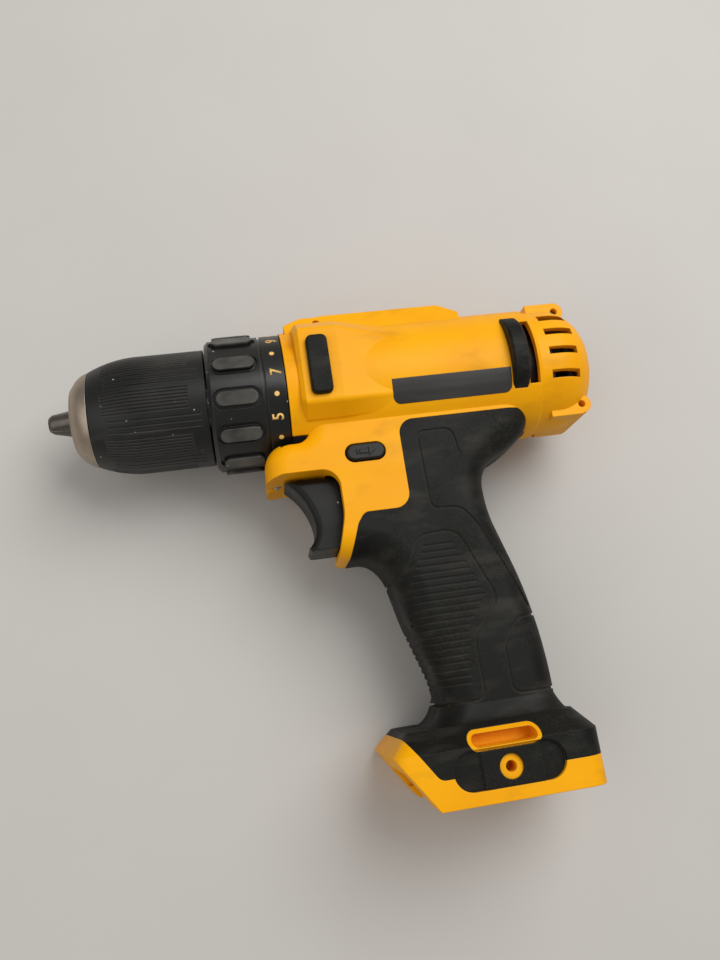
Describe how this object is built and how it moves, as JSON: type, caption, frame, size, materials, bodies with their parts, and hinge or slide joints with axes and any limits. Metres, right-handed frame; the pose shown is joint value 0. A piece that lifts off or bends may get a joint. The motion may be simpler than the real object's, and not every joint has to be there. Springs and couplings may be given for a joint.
{
  "type": "cordless drill",
  "caption": "Compact 12 V cordless drill and driver, bare tool: keyless chuck, clutch collar, planetary gearbox, motor, trigger and sliding battery socket in a rubber-gripped clamshell",
  "frame": {"origin": "on the spindle axis at the tips of the closed jaws", "axes": "X runs back along the spindle from the jaw tips to the motor, Y up from the foot to the head, Z out of the left side, so the drill lies on its right side"},
  "size_m": [0.188, 0.1645, 0.054],
  "materials": {
    "housing_plastic": "moulded, fine grain, lightly scuffed",
    "grip_rubber": "moulded rubber, dusty in its grooves",
    "black_plastic": "moulded black, worn at the edges",
    "nose_metal": "satin turned",
    "jaw_steel": "ground",
    "machined_steel": "machined, lightly oiled",
    "dark_screw": "black oxide",
    "gearbox_plastic": "glass-filled, dull",
    "motor_steel": "rolled, plated",
    "magnet_ferrite": "sintered",
    "copper": "enamelled copper",
    "contact_brass": "plated",
    "wire_cover": "wire insulation",
    "led_clear": "clear moulded",
    "board": "lacquered board"
  },
  "bodies": {
    "body": {"housing_left": "housing_plastic", "housing_right": "housing_plastic", "grip_overmould_left": "grip_rubber", "grip_overmould_right": "grip_rubber", "front_bumpers": "grip_rubber", "rear_bumpers": "grip_rubber", "gearbox_case": "gearbox_plastic", "gearbox_cover": "gearbox_plastic", "ring_gear_output": "machined_steel", "ring_gear_first": "machined_steel", "spindle_bearings": "machined_steel", "clutch_washer": "machined_steel", "clutch_spring": "machined_steel", "clutch_balls": "machined_steel", "motor_can": "motor_steel", "motor_magnets": "magnet_ferrite", "motor_end_bell": "gearbox_plastic", "motor_brushes": "magnet_ferrite", "motor_screws": "dark_screw", "switch_body": "black_plastic", "led_lens": "led_clear", "led_board": "board", "terminal_block": "black_plastic", "terminal_blades": "contact_brass", "battery_leads": "wire_cover", "motor_leads": "wire_cover", "housing_screws": "dark_screw"},
    "rotor": {"armature_shaft": "machined_steel", "armature_core": "motor_steel", "armature_windings": "copper", "commutator": "copper", "motor_pinion": "machined_steel", "cooling_fan": "gearbox_plastic"},
    "first_stage": {"carrier_first": "machined_steel"},
    "second_stage": {"carrier_second": "machined_steel"},
    "output": {"spindle": "machined_steel", "chuck_body": "machined_steel", "chuck_nose_ring": "nose_metal", "chuck_screw": "dark_screw"},
    "sleeve": {"chuck_sleeve": "black_plastic", "jaw_nut": "machined_steel"},
    "collar": {"clutch_collar": "black_plastic"},
    "nut": {"clutch_nut": "gearbox_plastic"},
    "trigger_body": {"trigger": "black_plastic"},
    "button_body": {"direction_button": "black_plastic"},
    "selector": {"speed_selector": "black_plastic", "shift_yoke": "machined_steel", "ring_gear_second": "machined_steel"},
    "first_planet_1": {"planet_first_1": "machined_steel"},
    "first_planet_2": {"planet_first_2": "machined_steel"},
    "first_planet_3": {"planet_first_3": "machined_steel"},
    "second_planet_1": {"planet_second_1": "machined_steel"},
    "second_planet_2": {"planet_second_2": "machined_steel"},
    "second_planet_3": {"planet_second_3": "machined_steel"},
    "output_planet_1": {"planet_output_1": "machined_steel"},
    "output_planet_2": {"planet_output_2": "machined_steel"},
    "output_planet_3": {"planet_output_3": "machined_steel"},
    "jaw_1": {"chuck_jaw_1": "jaw_steel"},
    "jaw_2": {"chuck_jaw_2": "jaw_steel"},
    "jaw_3": {"chuck_jaw_3": "jaw_steel"}
  },
  "joints": [
    {"name": "motor_spin", "type": "hinge", "parent": "body", "child": "rotor", "pos_m": [0.14, 0, 0], "axis": [1, 0, 0], "continuous": true},
    {"name": "first_carrier_spin", "type": "hinge", "parent": "body", "child": "first_stage", "pos_m": [0.105, 0, 0], "axis": [1, 0, 0], "continuous": true},
    {"name": "second_carrier_spin", "type": "hinge", "parent": "body", "child": "second_stage", "pos_m": [0.095, 0, 0], "axis": [1, 0, 0], "continuous": true},
    {"name": "spindle_spin", "type": "hinge", "parent": "body", "child": "output", "pos_m": [0.06, 0, 0], "axis": [1, 0, 0], "continuous": true},
    {"name": "first_planet_1_spin", "type": "hinge", "parent": "first_stage", "child": "first_planet_1", "pos_m": [0.1107, 0.01073, 0], "axis": [1, 0, 0], "continuous": true},
    {"name": "first_planet_2_spin", "type": "hinge", "parent": "first_stage", "child": "first_planet_2", "pos_m": [0.1107, -0.00536, 0.00929], "axis": [1, 0, 0], "continuous": true},
    {"name": "first_planet_3_spin", "type": "hinge", "parent": "first_stage", "child": "first_planet_3", "pos_m": [0.1107, -0.00536, -0.00929], "axis": [1, 0, 0], "continuous": true},
    {"name": "second_planet_1_spin", "type": "hinge", "parent": "second_stage", "child": "second_planet_1", "pos_m": [0.0997, 0.00975, 0], "axis": [1, 0, 0], "continuous": true},
    {"name": "second_planet_2_spin", "type": "hinge", "parent": "second_stage", "child": "second_planet_2", "pos_m": [0.0997, -0.00487, 0.00844], "axis": [1, 0, 0], "continuous": true},
    {"name": "second_planet_3_spin", "type": "hinge", "parent": "second_stage", "child": "second_planet_3", "pos_m": [0.0997, -0.00487, -0.00844], "axis": [1, 0, 0], "continuous": true},
    {"name": "output_planet_1_spin", "type": "hinge", "parent": "output", "child": "output_planet_1", "pos_m": [0.0903, 0.01073, 0], "axis": [1, 0, 0], "continuous": true},
    {"name": "output_planet_2_spin", "type": "hinge", "parent": "output", "child": "output_planet_2", "pos_m": [0.0903, -0.00536, 0.00929], "axis": [1, 0, 0], "continuous": true},
    {"name": "output_planet_3_spin", "type": "hinge", "parent": "output", "child": "output_planet_3", "pos_m": [0.0903, -0.00536, -0.00929], "axis": [1, 0, 0], "continuous": true},
    {"name": "chuck_sleeve_turn", "type": "hinge", "parent": "output", "child": "sleeve", "pos_m": [0.035, 0, 0], "axis": [1, 0, 0], "range_deg": [0, 3240]},
    {"name": "jaw_1_slide", "type": "slide", "parent": "output", "child": "jaw_1", "axis": [0.9703, 0, 0.2419], "range_m": [0, 0.02067]},
    {"name": "jaw_2_slide", "type": "slide", "parent": "output", "child": "jaw_2", "axis": [0.9703, -0.2095, -0.121], "range_m": [0, 0.02067]},
    {"name": "jaw_3_slide", "type": "slide", "parent": "output", "child": "jaw_3", "axis": [0.9703, 0.2095, -0.121], "range_m": [0, 0.02067]},
    {"name": "clutch_collar_turn", "type": "hinge", "parent": "body", "child": "collar", "pos_m": [0.067, 0, 0], "axis": [1, 0, 0], "range_deg": [-189, 94.5]},
    {"name": "clutch_nut_slide", "type": "slide", "parent": "collar", "child": "nut", "axis": [1, 0, 0], "range_m": [-0.00263, 0.00131], "deforming": ["clutch_spring"]},
    {"name": "trigger_pull", "type": "slide", "parent": "body", "child": "trigger_body", "axis": [1, 0, 0], "range_m": [0, 0.0065], "stiffness_N_per_m": 400},
    {"name": "direction_push", "type": "slide", "parent": "body", "child": "button_body", "axis": [0, 0, 1], "range_m": [-0.0025, 0.0025]},
    {"name": "speed_shift", "type": "slide", "parent": "body", "child": "selector", "axis": [1, 0, 0], "range_m": [0, 0.005]}
  ],
  "couplings": [
    {"joint": "first_carrier_spin", "follows": "motor_spin", "ratio": 0.27273},
    {"joint": "second_carrier_spin", "follows": "motor_spin", "ratio": 0.072727},
    {"joint": "spindle_spin", "follows": "motor_spin", "ratio": 0.019835},
    {"joint": "first_planet_1_spin", "follows": "motor_spin", "ratio": -0.87273},
    {"joint": "first_planet_2_spin", "follows": "motor_spin", "ratio": -0.87273},
    {"joint": "first_planet_3_spin", "follows": "motor_spin", "ratio": -0.87273},
    {"joint": "second_planet_1_spin", "follows": "motor_spin", "ratio": -0.22857},
    {"joint": "second_planet_2_spin", "follows": "motor_spin", "ratio": -0.22857},
    {"joint": "second_planet_3_spin", "follows": "motor_spin", "ratio": -0.22857},
    {"joint": "output_planet_1_spin", "follows": "motor_spin", "ratio": -0.063471},
    {"joint": "output_planet_2_spin", "follows": "motor_spin", "ratio": -0.063471},
    {"joint": "output_planet_3_spin", "follows": "motor_spin", "ratio": -0.063471},
    {"joint": "jaw_1_slide", "follows": "chuck_sleeve_turn", "m_per_rad": 0.00036553},
    {"joint": "jaw_2_slide", "follows": "chuck_sleeve_turn", "m_per_rad": 0.00036553},
    {"joint": "jaw_3_slide", "follows": "chuck_sleeve_turn", "m_per_rad": 0.00036553},
    {"joint": "clutch_nut_slide", "follows": "clutch_collar_turn", "m_per_rad": 0.00079577}
  ]
}
